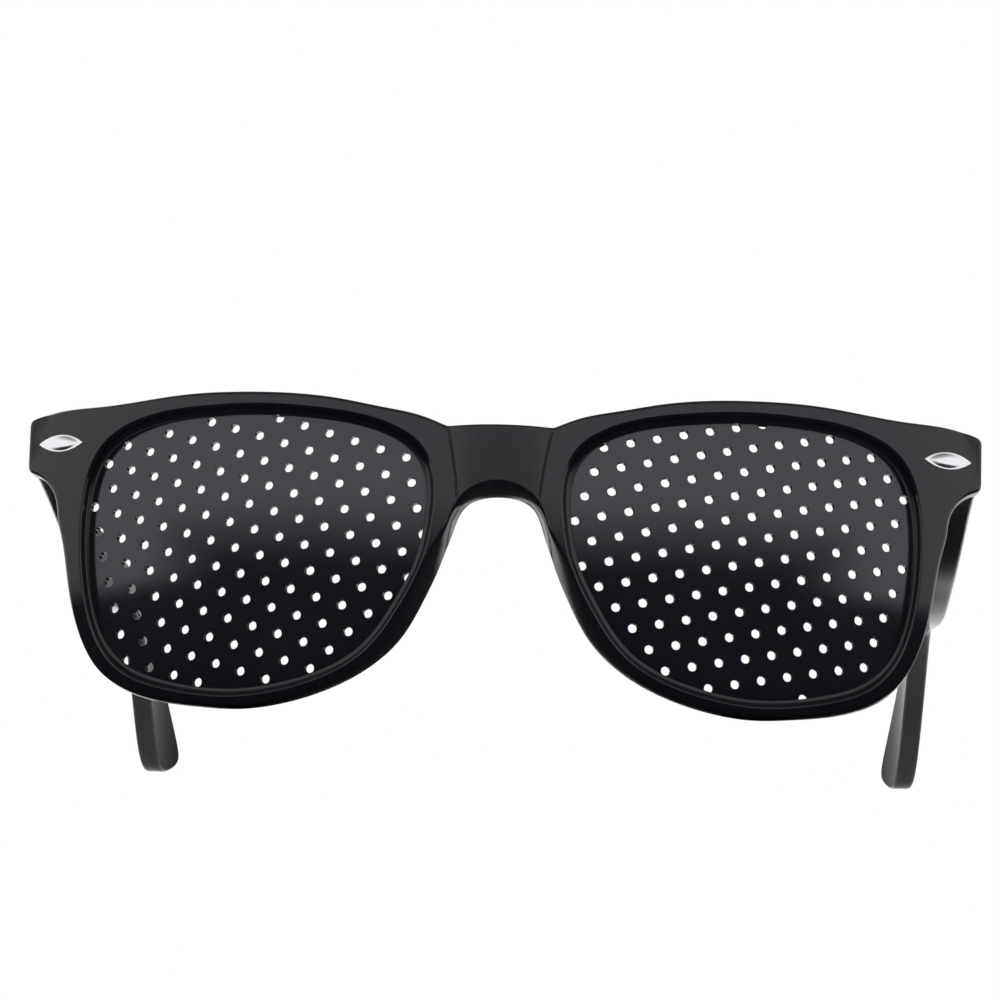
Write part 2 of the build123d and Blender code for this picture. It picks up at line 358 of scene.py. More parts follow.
@dataclass
class Shell:
    """A closed mesh that grows ring by ring, in millimetres."""

    points: list[np.ndarray] = field(default_factory=list)
    faces: list[tuple[int, ...]] = field(default_factory=list)
    true_normals: list[tuple[np.ndarray, np.ndarray, int, bool]] = field(default_factory=list)
    count: int = 0

    def ring(self, places: np.ndarray) -> np.ndarray:
        """Adds points.

        Args:
            places: The points, one row each.

        Returns:
            Their numbers.
        """
        self.points.append(places)
        numbers = np.arange(self.count, self.count + len(places))
        self.count += len(places)
        return numbers

    def bands(self, rings: Sequence[np.ndarray]) -> None:
        """Joins each ring to the next one with a band of faces.

        Args:
            rings: The numbers of each ring's points, as many in each.
        """
        for first, second in zip(rings, rings[1:]):
            corners = np.column_stack([first, np.roll(first, -1), np.roll(second, -1), second])
            self.faces += [tuple(face) for face in corners.tolist()]

    def sheet(self, loops: Sequence[np.ndarray], flat: Callable[[np.ndarray], np.ndarray],
              fill: np.ndarray, lift: Callable[[np.ndarray], np.ndarray],
              normal: Callable[[np.ndarray], np.ndarray], shared: bool) -> None:
        """Fills the space between rings with a curved sheet.

        Args:
            loops: The numbers of the ring round the sheet, and of each ring inside it.
            flat: Gives the place of points on the plane in which the sheet is cut.
            fill: Places on that plane, which give the sheet its curve.
            lift: Gives the points of such places.
            normal: Gives the sheet's own normals at points.
            shared: Whether the bands round the sheet have its normals too, where they meet.
        """
        every = np.vstack(self.points)
        outlines = [flat(every[loop]) for loop in loops]
        kept = fill[inside(fill, outlines[0])]
        for outline in outlines[1:]:
            kept = kept[~inside(kept, outline)]
        numbers = np.concatenate([*loops, self.ring(lift(kept))])
        places = np.vstack([*outlines, kept])
        edges, start = [], 0
        for loop in loops:
            size = len(loop)
            edges += [(start + i, start + (i + 1) % size) for i in range(size)]
            start += size
        made = delaunay_2d_cdt([Vector(p) for p in places], edges, [], 0, MERGE_GAP)
        source = np.array([origins[0] for origins in made[3]])
        triangles = source[np.array(made[2])]
        middles = places[triangles].mean(axis=1)
        wanted = inside(middles, outlines[0])
        for outline in outlines[1:]:
            wanted &= ~inside(middles, outline)
        first_face = len(self.faces)
        self.faces += [tuple(face) for face in numbers[triangles[wanted]].tolist()]
        normals = normal(np.vstack(self.points)[numbers])
        self.true_normals.append((numbers, normals, first_face, shared))

    def build(self, name: str, turn: np.ndarray, shift: Sequence[float],
              sharp: float = 42.0) -> bpy.types.Object:
        """Makes the mesh and its object.

        Args:
            name: The object's name.
            turn: The matrix that turns the shell's own axes to those of the glasses.
            shift: Where the shell's own origin lies, in millimetres.
            sharp: The angle in degrees past which an edge stays sharp.

        Returns:
            The object, in metres.
        """
        places = np.vstack(self.points) @ turn.T + np.array(shift)
        mesh = bpy.data.meshes.new(name)
        mesh.from_pydata((places * MM).tolist(), [], self.faces)
        shape = bmesh.new()
        shape.from_mesh(mesh)
        bmesh.ops.recalc_face_normals(shape, faces=shape.faces)
        shape.to_mesh(mesh)
        shape.free()
        mesh.shade_smooth()
        mesh.set_sharp_from_angle(angle=math.radians(sharp))
        corners = len(mesh.loops)
        owners = np.empty(corners, np.int32)
        mesh.loops.foreach_get("vertex_index", owners)
        normals = np.empty(corners * 3)
        mesh.corner_normals.foreach_get("vector", normals)
        normals = normals.reshape(-1, 3)
        sizes = np.empty(len(mesh.polygons), np.int32)
        mesh.polygons.foreach_get("loop_total", sizes)
        face_of = np.repeat(np.arange(len(sizes)), sizes)
        ends = [entry[2] for entry in self.true_normals[1:]] + [len(self.faces)]
        for (numbers, own, first_face, shared), last_face in zip(self.true_normals, ends):
            table = np.full((self.count, 3), np.nan)
            table[numbers] = own @ turn.T
            chosen = ~np.isnan(table[owners, 0])
            if not shared:
                chosen &= (face_of >= first_face) & (face_of < last_face)
            normals[chosen] = table[owners[chosen]]
        mesh.normals_split_custom_set(normals.tolist())
        return add_piece(name, mesh)


@dataclass
class Slab:
    """A plate between two curved surfaces, with a rounded edge, in millimetres.

    Its outline lies on a plane, and its depth is measured square to that plane. Each sample of
    the outline has its place and how far it leans for each millimetre of depth.
    """

    line: np.ndarray
    face: Depth
    back: Depth
    face_edge: np.ndarray
    back_edge: np.ndarray
    face_fill: np.ndarray
    back_fill: np.ndarray
    openings: list[list[np.ndarray]] = field(default_factory=list)
    steps: int = 5
    passes: int = 4

    def edge_ring(self, inset: np.ndarray, surface: Depth, push: np.ndarray) -> np.ndarray:
        """Follows the outline on or near one surface.

        Args:
            inset: How far inside the outline each point lies.
            surface: The surface it follows.
            push: How far behind that surface each point lies.

        Returns:
            The ring's points.
        """
        flat = self.line[:, :2] + inward_normals(self.line) * inset[:, None]
        place, depth = flat, np.zeros(len(flat))
        for _ in range(self.passes):
            depth = surface(place[:, 0], place[:, 1]) + push
            place = flat + self.line[:, 2:] * depth[:, None]
        return np.column_stack([place[:, 0], depth, place[:, 1]])

    def shell(self) -> Shell:
        """Makes the plate's mesh, in its own axes: across, depth and up.

        Returns:
            The mesh, with its edges, openings, face and back.
        """
        shell = Shell()
        turns = np.linspace(0.0, math.pi / 2, self.steps)
        rings = [
            shell.ring(self.edge_ring(edge * (1 - math.sin(turn)), surface,
                                      facing * edge * (1 - math.cos(turn))))
            for surface, edge, facing in ((self.face, self.face_edge, 1),
                                          (self.back, self.back_edge, -1))
            for turn in turns[::facing]
        ]
        shell.bands(rings)
        cuts = []
        for opening in self.openings:
            cut = [shell.ring(places) for places in opening]
            shell.bands(cut)
            cuts.append(cut)
        for end, surface, fill, facing in ((0, self.face, self.face_fill, 1),
                                           (-1, self.back, self.back_fill, -1)):
            self.cover(shell, [rings[end], *(cut[end] for cut in cuts)], surface, fill, facing)
        return shell

    def cover(self, shell: Shell, loops: list[np.ndarray], surface: Depth, fill: np.ndarray,
              facing: float) -> None:
        """Closes one side of the plate.

        Args:
            shell: The mesh so far.
            loops: The numbers of the ring round the side, and of each opening's ring.
            surface: The side's surface.
            fill: Places that give the side its curve.
            facing: 1 for the face and -1 for the back.
        """
        def normal(points: np.ndarray) -> np.ndarray:
            """Finds the surface's outward normals.

            Args:
                points: The points, one row each.

            Returns:
                One unit normal for each point.
            """
            across, up = slopes_of(surface, points[:, 0], points[:, 2])
            normals = np.column_stack([across, -np.ones(len(points)), up]) * facing
            return normals / np.linalg.norm(normals, axis=1)[:, None]

        shell.sheet(loops, lambda points: points[:, [0, 2]], fill,
                    lambda places: lifted(places, surface), normal, True)


@dataclass
class Curve:
    """The spheres that one side's rim and lens follow, in millimetres."""

    side: Side
    across: float = LENS_DATUM - LENS_RADIUS * math.sin(math.radians(LENS_WRAP))
    back: float = LENS_RADIUS * math.cos(math.radians(LENS_WRAP))

    def depth(self, radius: float | np.ndarray) -> Depth:
        """Gives the surface of one of the spheres as a depth.

        Args:
            radius: The sphere's radius, or one radius for each place.

        Returns:
            The function that measures the depth.
        """
        middle = self.side.value * self.across

        def surface(across: np.ndarray, up: np.ndarray) -> np.ndarray:
            """Measures how far back the sphere's near side lies."""
            reach = np.clip(radius**2 - (across - middle) ** 2 - up**2, 0.0, None)
            return self.back - np.sqrt(reach)

        return surface


@dataclass
class LensOpening:
    """The rounded outline that a rim's opening and its lens share, in millimetres."""

    width: float = 53.6
    height: float = 43.5
    across: float = 36.6
    drop: float = 3.4
    samples: int = 330
    shares: tuple = (
        (1.0, 0.16), (0.985, -0.15), (0.937, -0.46), (0.847, -0.697), (0.713, -0.848),
        (0.511, -0.94), (0.276, -0.99), (0.05, -0.995), (-0.18, -0.95), (-0.403, -0.862),
        (-0.623, -0.697), (-0.836, -0.338), (-0.94, -0.07), (-0.993, 0.25), (-0.978, 0.59),
        (-0.899, 0.752), (-0.769, 0.857), (-0.582, 0.931), (-0.358, 0.972), (0.09, 1.0),
        (0.313, 0.986), (0.537, 0.954), (0.687, 0.903), (0.817, 0.821), (0.899, 0.72),
        (0.955, 0.586), (0.989, 0.4),
    )

    def outline(self, side: Side, grow: float) -> np.ndarray:
        """Draws the outline as seen from the front.

        Args:
            side: The side it is on.
            grow: How much larger than the opening it is, all round.

        Returns:
            Its places, one row each.
        """
        points = to_points(self.shares, self.width / 2 + grow, self.height / 2 + grow)
        points = spline_through(points, True, self.samples)
        points[:, 0] = side.value * (points[:, 0] + self.across)
        points[:, 1] -= self.drop
        return points

    def ring(self, side: Side, grow: float, radius: float) -> np.ndarray:
        """Puts the outline on a sphere.

        Args:
            side: The side it is on.
            grow: How much larger than the opening it is, all round.
            radius: The sphere's radius.

        Returns:
            Its points, one row each.
        """
        return lifted(self.outline(side, grow), Curve(side).depth(radius))


@dataclass
class Front:
    """The moulded front: brow, rims, nose pads, bridge and endpieces, in millimetres."""

    opening: LensOpening
    width: float = 146.0
    brow_height: float = 20.7
    rim_depth: float = 26.9
    saddle_lean: float = 0.18
    bridge_top: float = 16.0
    bridge_flat: float = 8.0
    bridge_radius: float = 14.0
    bridge_crest: float = 1.6
    bridge_back: float = 5.4
    crease_depth: float = 0.14
    crease_width: float = 0.11
    crease_reach: float = 0.8
    face_radius: float = 82.2
    back_radius: float = 77.75
    endpiece_inner: float = 63.2
    endpiece_low: float = 8.6
    hinge_face: float = 16.54
    face_join: float = 0.12
    back_join: float = 0.4
    back_flare: float = 4.0
    step_lead: float = 0.1
    step_run: float = 0.6
    edge: float = 0.6
    edge_least: float = 0.12
    edge_share: float = 0.35
    bevel_low: float = 81.4
    bevel_least: float = 0.25
    bevel_room: float = 0.5
    edge_softening: float = 1.0
    spacing: float = 0.5
    rounding: float = 0.5
    brow_samples: int = 400
    rim_samples: int = 2400
    fill_spacing: float = 1.6
    column_corner: tuple[float, float] = (8.0, -10.0)
    column_clear: tuple[float, float] = (8.2, -10.2)
    column_spacing: float = 0.5
    crease_span: tuple[float, float] = (3.0, 10.5)
    crease_samples: int = 1500
    crease_low: float = -4.0
    crease_spacing: float = 0.4
    crease_clear: float = 0.75
    crease_shifts: tuple = (-0.6, -0.4, -0.27, -0.16, -0.07, 0.0, 0.07, 0.16, 0.27, 0.4, 0.6)
    step_rows: int = 6
    step_clear: float = 0.8
    step_spacing: float = 0.5
    brow_shares: tuple = (
        (0.164, 0.845), (0.247, 0.9), (0.329, 0.952), (0.411, 0.985), (0.534, 1.0),
        (0.66, 0.986), (0.84, 0.924), (0.984, 0.87), (1.0, 0.845),
    )
    rim_shares: tuple = (
        (1.0, 0.355, 0.0), (0.978, 0.332, 0.0), (0.944, 0.249, 0.0), (0.93, 0.165, 0.0),
        (0.925, 0.07, 0.0), (0.915, -0.037, 0.0), (0.896, -0.316, 0.0), (0.874, -0.554, 0.0),
        (0.856, -0.669, 0.0), (0.829, -0.78, 0.0), (0.773, -0.892, 0.0), (0.696, -0.959, 0.0),
        (0.61, -0.989, 0.0), (0.525, -1.0, 0.0), (0.441, -0.97, 0.0), (0.357, -0.903, 0.0),
        (0.281, -0.795, 0.08), (0.244, -0.714, 0.15), (0.21, -0.606, 0.25),
        (0.19, -0.506, 0.34), (0.165, -0.357, 0.4), (0.145, -0.223, 0.43),
        (0.126, -0.112, 0.35), (0.105, 0.0, 0.22), (0.087, 0.13, 0.2),
    )
    bevel_steps: tuple = (
        (0.45, 82.2), (0.38, 82.17), (0.26, 82.07), (0.06, 81.86), (0.0, 81.75),
        (-0.08, 81.1), (-0.25, 80.65), (-0.5, 80.36), (-0.78, 80.2), (-1.0, 80.13),
        (-1.0, 80.05), (0.0, 80.05), (0.35, 78.55), (-1.0, 78.55), (-1.0, 78.0),
        (-0.9, 77.8), (-0.7, 77.75),
    )

    def line(self) -> np.ndarray:
        """Draws the front's outline.

        Returns:
            The samples, each with its place and its lean for each millimetre of depth.
        """
        half = self.width / 2
        start = (self.bridge_flat, self.bridge_top)
        brow = np.vstack([start, to_points(self.brow_shares, half, self.brow_height)])
        brow = spline_through(brow, False, self.brow_samples)
        right = to_points(self.rim_shares, half, self.rim_depth)
        right = np.column_stack([right[:, :2], -right[:, 2], np.zeros(len(right))])
        left = right[::-1] * np.array([-1.0, 1.0, -1.0, 1.0])
        saddle = (0.0, SADDLE_RISE, 0.0, -self.saddle_lean)
        rim = spline_through(np.vstack([right, saddle, left]), False, self.rim_samples)
        brow = np.column_stack([brow, np.zeros((len(brow), 2))])
        mirrored = brow[::-1] * np.array([-1.0, 1.0, 1.0, 1.0])
        whole = evenly(np.vstack([brow, rim, mirrored]), self.spacing)
        return softened(whole, self.spacing, self.rounding)

    def column(self, across: np.ndarray) -> np.ndarray:
        """Measures the depth of the bridge's upright column."""
        reach = np.clip(self.bridge_radius**2 - across**2, 0.0, None)
        return self.bridge_radius - self.bridge_crest - np.sqrt(reach)

    def face(self, across: np.ndarray, up: np.ndarray) -> np.ndarray:
        """Measures the depth of the front's face, with the bridge standing out as a column.

        Args:
            across: The places across.
            up: The places upwards.

        Returns:
            The depth at each place.
        """
        rims = np.minimum(Curve(Side.RIGHT).depth(self.face_radius)(across, up),
                          Curve(Side.LEFT).depth(self.face_radius)(across, up))
        column = self.column(across)
        groove = self.crease_depth * np.exp(-((rims - column) / self.crease_width) ** 2)
        groove = groove * (np.abs(across) < self.bridge_radius * self.crease_reach)
        return soft_least(rims, column, self.face_join) + groove

    def back(self, across: np.ndarray, up: np.ndarray) -> np.ndarray:
        """Measures the depth of the front's back, which steps back at the endpieces.

        Args:
            across: The places across.
            up: The places upwards.

        Returns:
            The depth at each place.
        """
        rims = soft_least(Curve(Side.RIGHT).depth(self.back_radius)(across, up),
                          Curve(Side.LEFT).depth(self.back_radius)(across, up),
                          self.back_join)
        beside = np.clip(np.abs(across) - self.bridge_flat, 0.0, None)
        rims = soft_least(rims, self.bridge_back + self.back_flare * beside, self.back_join)
        rims = np.minimum(rims, self.hinge_face)
        block = soft_step(np.abs(across), self.endpiece_inner - self.step_lead,
                          self.endpiece_inner + self.step_run)
        block = block * soft_step(up, self.endpiece_low - self.step_lead,
                                  self.endpiece_low + self.step_run)
        return rims + (self.hinge_face - rims) * block

    def crease(self, up: np.ndarray) -> np.ndarray:
        """Finds how far from the middle the bridge's column meets the rim.

        Args:
            up: The heights to look at.

        Returns:
            The distance from the middle at each height.
        """
        across = np.linspace(*self.crease_span, self.crease_samples)
        places, heights = np.meshgrid(across, up)
        rims = Curve(Side.RIGHT).depth(self.face_radius)(places, heights)
        return across[np.argmin(np.abs(rims - self.column(places)), axis=1)]

    def fills(self) -> tuple[np.ndarray, np.ndarray]:
        """Lays the places that give the face and the back their curves.

        Returns:
            The places for the face and those for the back.
        """
        half = self.width / 2
        plain = grid((-half, -self.rim_depth), (half, self.brow_height), self.fill_spacing)
        side, low = self.column_corner
        column = grid((-side, low), (side, self.brow_height), self.column_spacing)
        face = [plain[(np.abs(plain[:, 0]) > self.column_clear[0])
                      | (plain[:, 1] < self.column_clear[1])]]
        up = np.arange(self.crease_low, self.brow_height, self.crease_spacing)
        crease = self.crease(up)
        inner = np.abs(np.abs(column[:, 0]) - np.interp(column[:, 1], up, crease))
        face.append(column[inner > self.crease_clear])
        for shift in self.crease_shifts:
            face += [np.column_stack([sign * (crease + shift), up]) for sign in (-1, 1)]
        rows = [plain[(np.abs(plain[:, 0]) < self.endpiece_inner - self.step_clear)
                      | (plain[:, 1] < self.endpiece_low - self.step_clear)]]
        across = np.arange(self.endpiece_inner - self.step_spacing, half, self.step_spacing)
        up = np.arange(self.endpiece_low - self.step_spacing, self.brow_height,
                       self.step_spacing)
        for shift in np.linspace(-self.step_lead, self.step_run, self.step_rows):
            for sign in (-1, 1):
                place = sign * (self.endpiece_inner + shift)
                rows.append(np.column_stack([np.full(len(up), place), up]))
                low = self.endpiece_low + shift
                rows.append(np.column_stack([sign * across, np.full(len(across), low)]))
        return np.vstack(face), np.vstack(rows)

    def rim_ring(self, side: Side, bare: np.ndarray, share: np.ndarray, grow: float,
                 radius: float) -> np.ndarray:
        """Follows a lens opening at one step of its bevel, lip or groove.

        Args:
            side: The side it is on.
            bare: The opening's own outline.
            share: How much of the bevel there is room for at each sample.
            grow: How much larger than the opening the ring is, all round.
            radius: The radius of the sphere it lies on.

        Returns:
            The ring's points.
        """
        flat = self.opening.outline(side, grow)
        radii = np.full(len(flat), radius)
        if radius >= self.bevel_low:
            flat = bare + (flat - bare) * share
            radii = self.face_radius - (self.face_radius - radius) * share[:, 0]
        return lifted(flat, Curve(side).depth(radii))

    def build(self) -> bpy.types.Object:
        """Builds the front's mesh, with finer edges where the rim is narrow.

        Returns:
            The front.
        """
        line = self.line()
        none = np.zeros(len(line))
        slab = Slab(line, self.face, self.back, none, none, *self.fills())
        seen = slab.edge_ring(none, self.face, none)[:, [0, 2]]
        bare = [self.opening.outline(side, 0.0) for side in Side]
        apart = [np.linalg.norm(seen[:, None] - outline, axis=2) for outline in bare]
        least = np.minimum(*(distances.min(axis=1) for distances in apart))
        edges = np.clip(least * self.edge_share, self.edge_least, self.edge)
        edges = softened(edges[:, None], self.spacing, self.edge_softening)[:, 0]
        slab.face_edge, slab.back_edge = edges, edges * BACK_EDGE_SHARE
        for side, outline, distances in zip(Side, bare, apart):
            room = distances.min(axis=0) * self.bevel_room / self.bevel_steps[0][0]
            share = np.clip(room, self.bevel_least, 1.0)
            share = softened(share[:, None], self.spacing, self.edge_softening)
            slab.openings.append([self.rim_ring(side, outline, share, grow, radius)
                                  for grow, radius in self.bevel_steps])
        return slab.shell().build("moulded_front", GLASSES_TURN, GLASSES_SHIFT)


@dataclass
class Lens:
    """One opaque lens with its rows of pinholes, in millimetres."""

    side: Side
    opening: LensOpening
    turn: float
    start: tuple[float, float]
    thickness: float = 1.4
    face_grow: float = -0.05
    back_grow: float = 0.3
    hole_diameter: float = 1.4
    pitch: float = 4.0
    hole_inset: float = 0.9
    hole_edge: float = 0.07
    hole_sides: int = 28
    row_angle: float = 60.0
    fill_margin: float = 3.0
    fill_spacing: float = 1.3
    fill_gap: float = 0.5
    sharp: float = 30.0

    def axes(self) -> tuple[np.ndarray, np.ndarray, np.ndarray, np.ndarray]:
        """Sets out the flat datum on which the pinholes are laid.

        Returns:
            The datum's middle and its directions across, up and outward.
        """
        sign, wrap = self.side.value, math.radians(LENS_WRAP)
        return (np.array([sign * LENS_DATUM, 0.0, 0.0]),
                np.array([math.cos(wrap), sign * math.sin(wrap), 0.0]),
                np.array([0.0, 0.0, 1.0]),
                np.array([sign * math.sin(wrap), -math.cos(wrap), 0.0]))

    def flat(self, points: np.ndarray) -> np.ndarray:
        """Gives the places of points on the datum, across and up."""
        middle, across, up, _ = self.axes()
        return np.column_stack([(points - middle) @ across, (points - middle) @ up])

    def on_sphere(self, places: np.ndarray, radius: float) -> np.ndarray:
        """Finds the points of a sphere in front of or behind places on the datum.

        Args:
            places: The places, across and up.
            radius: The sphere's radius.

        Returns:
            The points, one row each.
        """
        middle, across, up, out = self.axes()
        reach = np.sqrt(radius**2 - (places**2).sum(axis=1)) - LENS_RADIUS
        return middle + places[:, :1] * across + places[:, 1:] * up + reach[:, None] * out

    def holes(self) -> np.ndarray:
        """Lays the middles of the pinholes on the datum, in slanting rows.

        Returns:
            The middles, one row each.
        """
        limit = self.opening.outline(self.side, -self.hole_inset)
        rows = math.ceil(self.opening.width / self.pitch)
        turn, slant = math.radians(self.turn), math.radians(self.turn - self.row_angle)
        steps = np.array([(i, j) for j in range(-rows, rows + 1) for i in range(-rows, rows + 1)])
        across = self.start[0] + self.pitch * (steps @ (math.cos(turn), math.cos(slant)))
        up = self.start[1] + self.pitch * (steps @ (math.sin(turn), math.sin(slant)))
        middle, along, _, _ = self.axes()
        seen = np.column_stack([middle[0] + across * along[0], up])
        return np.column_stack([across, up])[inside(seen, limit)]

    def build(self) -> bpy.types.Object:
        """Builds the lens's mesh, with each pinhole straight through it.

        Returns:
            The lens.
        """
        shell = Shell()
        back_radius = LENS_RADIUS - self.thickness
        rims = [
            shell.ring(self.opening.ring(self.side, grow, radius))
            for grow, radius in ((self.face_grow, LENS_RADIUS), (self.back_grow, back_radius))
        ]
        shell.bands(rims)
        angles = np.arange(self.hole_sides) * 2 * math.pi / self.hole_sides
        circle = np.column_stack([np.cos(angles), np.sin(angles)])
        bore, edge = self.hole_diameter / 2, self.hole_edge
        middles = self.holes()
        fronts, backs = [], []
        for middle in middles:
            rings = [
                shell.ring(self.on_sphere(middle + circle * size, radius))
                for size, radius in ((bore + edge, LENS_RADIUS), (bore, LENS_RADIUS - edge),
                                     (bore, back_radius + edge), (bore + edge, back_radius))
            ]
            shell.bands(rings)
            fronts.append(rings[0])
            backs.append(rings[-1])
        half = self.opening.width / 2 + self.fill_margin
        fill = grid((-half, -half), (half, half), self.fill_spacing)
        fill = spaced_from(fill, middles, bore + self.fill_gap)
        sphere = self.axes()[0] - LENS_RADIUS * self.axes()[3]
        for loops, radius, facing in (([rims[0], *fronts], LENS_RADIUS, 1.0),
                                      ([rims[1], *backs], back_radius, -1.0)):
            shell.sheet(loops, self.flat, fill,
                        lambda places, r=radius: self.on_sphere(places, r),
                        lambda points, r=radius, s=facing: (points - sphere) * (s / r), False)
        name = f"pinhole_lens_{self.side.word}"
        LOG.info("%s has %d pinholes", name, len(middles))
        return shell.build(name, GLASSES_TURN, GLASSES_SHIFT, self.sharp)


@dataclass
class Inlay:
    """A plated almond, set in an endpiece, in millimetres."""

    side: Side
    length: float = 7.5
    height: float = 2.8
    across: float = 67.7
    up: float = 13.6
    turn: float = -2.0
    samples: int = 96
    steps: tuple = (
        (1.0, 81.4), (1.0, 82.22), (0.975, 82.28), (0.95, 82.3), (0.84, 82.31), (0.8, 82.335),
        (0.7, 82.41), (0.58, 82.495), (0.45, 82.57), (0.3, 82.63), (0.15, 82.665),
        (0.05, 82.673),
    )

    def outline(self, share: float) -> np.ndarray:
        """Draws the almond as seen from the front.

        Args:
            share: The share of its size that it is drawn at.

        Returns:
            Its places, one row each.
        """
        half_length, half_height = self.length / 2, self.height / 2
        radius = (half_length**2 + half_height**2) / (2 * half_height)
        across = np.linspace(-half_length, half_length, self.samples // 2 + 1)
        arc = np.sqrt(radius**2 - across**2) - (radius - half_height)
        upper, lower = np.column_stack([across, arc]), np.column_stack([across, -arc])[::-1]
        flat = np.vstack([upper[:-1], lower[:-1]]) * share
        angle = math.radians(-self.side.value * self.turn)
        turned = flat @ np.array([[math.cos(angle), math.sin(angle)],
                                  [-math.sin(angle), math.cos(angle)]])
        return turned + (self.side.value * self.across, self.up)

    def build(self) -> bpy.types.Object:
        """Builds the almond's mesh, domed inside a flat border.

        Returns:
            The inlay.
        """
        shell = Shell()
        rings = [shell.ring(lifted(self.outline(share), Curve(self.side).depth(radius)))
                 for share, radius in self.steps]
        shell.bands(rings)
        shell.faces.append(tuple(rings[0].tolist()))
        shell.faces.append(tuple(rings[-1][::-1].tolist()))
        return shell.build(f"almond_inlay_{self.side.word}", GLASSES_TURN, GLASSES_SHIFT)


@dataclass
class Temple:
    """One moulded temple, whose tip bends towards the head, in millimetres."""

    side: Side
    reach: float = 143.7
    drop: float = 25.5
    top: float = 17.2
    heel_low: float = 9.4
    heel: float = -1.65
    hinge_back: float = 18.4
    inner: float = 68.86
    outer: float = 72.4
    bend_start: float = 108.0
    bend_radius: float = 190.0
    edge: float = 0.65
    spacing: float = 0.4
    rounding: float = 0.85
    tip_rounding: float = 4.15
    tip_span: tuple[float, float] = (0.84, 0.88)
    edge_samples: int = 700
    fill_spacing: float = 1.6
    upper_shares: tuple = (
        (0.077, 0.616), (0.125, 0.588), (0.152, 0.56), (0.174, 0.5), (0.216, 0.408),
        (0.25, 0.373), (0.348, 0.338), (0.466, 0.322), (0.6, 0.295), (0.675, 0.27),
        (0.731, 0.22), (0.783, 0.114), (0.839, -0.09), (0.898, -0.326), (0.953, -0.596),
        (0.976, -0.718), (1.0, -0.847),
    )
    lower_shares: tuple = (
        (0.893, -1.0), (0.849, -0.733), (0.812, -0.486), (0.772, -0.263), (0.722, -0.067),
        (0.689, 0.02), (0.647, 0.023), (0.564, -0.02), (0.466, -0.05), (0.383, -0.016),
        (0.317, 0.04), (0.264, 0.082), (0.118, 0.243), (0.09, 0.275),
    )

    def line(self) -> np.ndarray:
        """Draws the temple's outline as seen from the side.

        Returns:
            The samples, each with its place and no lean.
        """
        upper = np.vstack([(self.heel, self.top),
                           to_points(self.upper_shares, self.reach, self.drop)])
        lower = np.vstack([to_points(self.lower_shares, self.reach, self.drop),
                           (self.heel, self.heel_low)])
        sides = [spline_through(points, False, self.edge_samples) for points in (upper, lower)]
        whole = evenly(np.vstack(sides), self.spacing)
        sharper = softened(whole, self.spacing, self.rounding)
        rounder = softened(whole, self.spacing, self.tip_rounding)
        start, end = self.tip_span
        share = soft_step(sharper[:, 0], self.reach * start, self.reach * end)[:, None]
        places = sharper + (rounder - sharper) * share
        return np.column_stack([places, np.zeros((len(places), 2))])

    def bent(self, along: np.ndarray, start: float, radius: float) -> np.ndarray:
        """Measures how far out a face lies, bending towards the head past the bend's start."""
        past = np.clip(along - self.bend_start, 0.0, None)
        return start - radius + np.sqrt(radius**2 - past**2)

    def build(self) -> bpy.types.Object:
        """Builds the temple's mesh.

        Returns:
            The temple.
        """
        thickness = self.outer - self.inner

        def face(along: np.ndarray, up: np.ndarray) -> np.ndarray:
            """Measures the depth of the outer face."""
            return -self.bent(along, self.outer, self.bend_radius + thickness)

        def back(along: np.ndarray, up: np.ndarray) -> np.ndarray:
            """Measures the depth of the inner face."""
            return -self.bent(along, self.inner, self.bend_radius)

        fill = grid((self.heel, -self.drop), (self.reach, self.top), self.fill_spacing)
        line = self.line()
        edges = np.full(len(line), self.edge)
        slab = Slab(line, face, back, edges, edges * BACK_EDGE_SHARE, fill, fill)
        sign = self.side.value
        turn = np.array([[0.0, -sign, 0.0], [1.0, 0.0, 0.0], [0.0, 0.0, 1.0]])
        shift = (0.0, self.hinge_back, -SADDLE_RISE)
        return slab.shell().build(f"moulded_temple_{self.side.word}", turn, shift)


class Grain(Enum):
    """The kinds of fine surface."""

    MOULDED = "moulded"
    BRUSHED = "brushed"
    TURNED = "turned"


